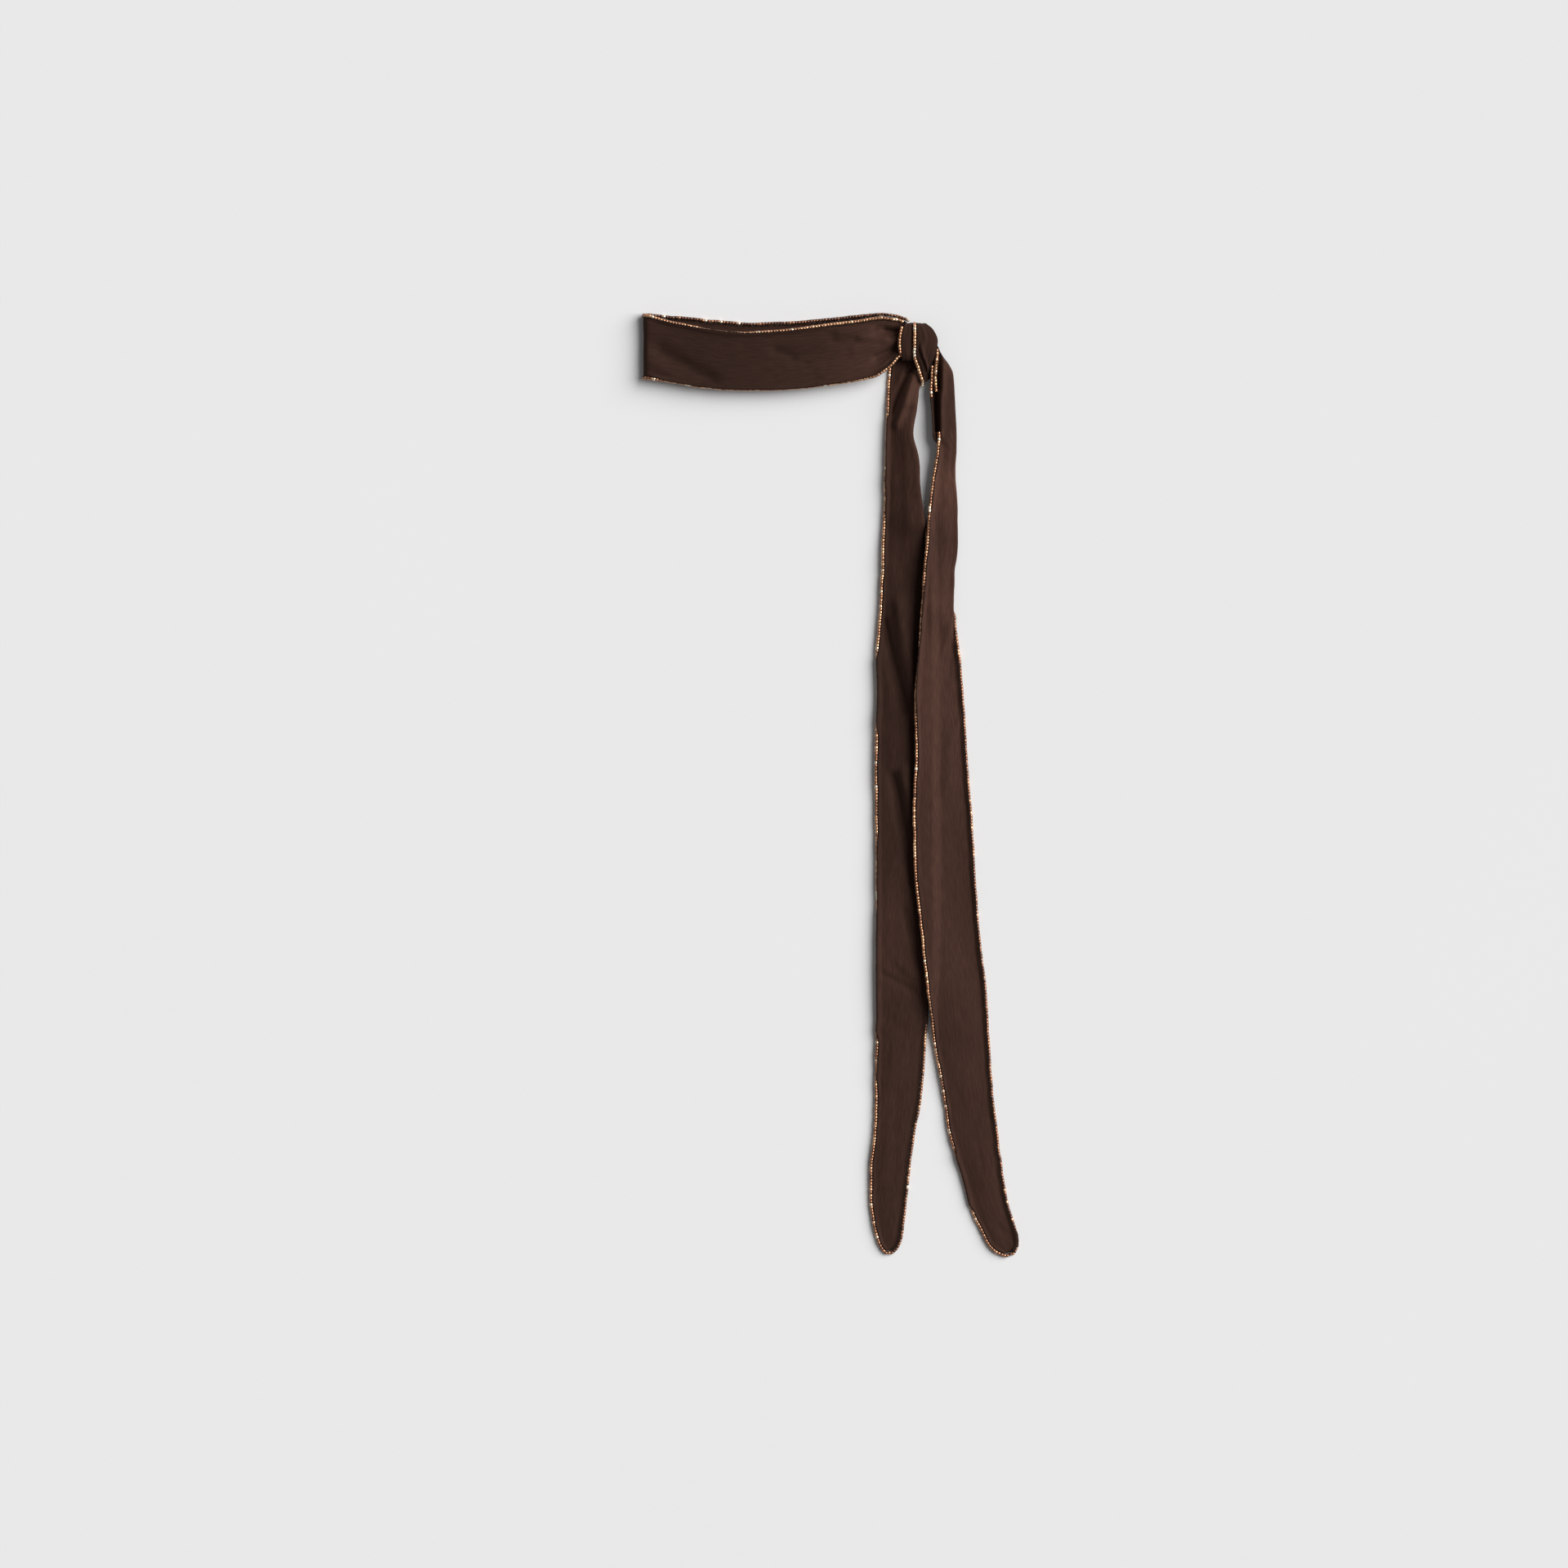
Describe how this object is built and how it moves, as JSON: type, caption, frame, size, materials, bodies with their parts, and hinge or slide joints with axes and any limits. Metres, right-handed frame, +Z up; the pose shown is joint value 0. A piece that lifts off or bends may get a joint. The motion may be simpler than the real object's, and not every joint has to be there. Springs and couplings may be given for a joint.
{
  "type": "beaded neck scarf",
  "caption": "Long narrow chiffon neck scarf with a row of cylinder beads along its edge, laid flat with its neck loop, wrapped knot and round-tipped tails.",
  "frame": {"origin": "middle of the scarf's outline in plan, on the surface that it lies on", "axes": "+X to the right in the picture, from the neck loop towards the tails; +Y up the picture, from the tips of the tails towards the knot; +Z up from the surface"},
  "size_m": [0.2578, 0.6473, 0.0142],
  "materials": {
    "chiffon": "matt crinkled weave with a faint silky sheen",
    "beads": "bronze lustre, glossy"
  },
  "bodies": {
    "root": {"neck_loop": "chiffon", "knot_wrap": "chiffon", "left_tail": "chiffon", "right_tail": "chiffon", "bead_edging_neck_top": "beads", "bead_edging_neck_bottom": "beads", "bead_edging_knot_inner": "beads", "bead_edging_knot_outer": "beads", "bead_edging_left_tail": "beads", "bead_edging_right_tail": "beads", "bead_edging_folded_edge": "beads"}
  },
  "joints": []
}
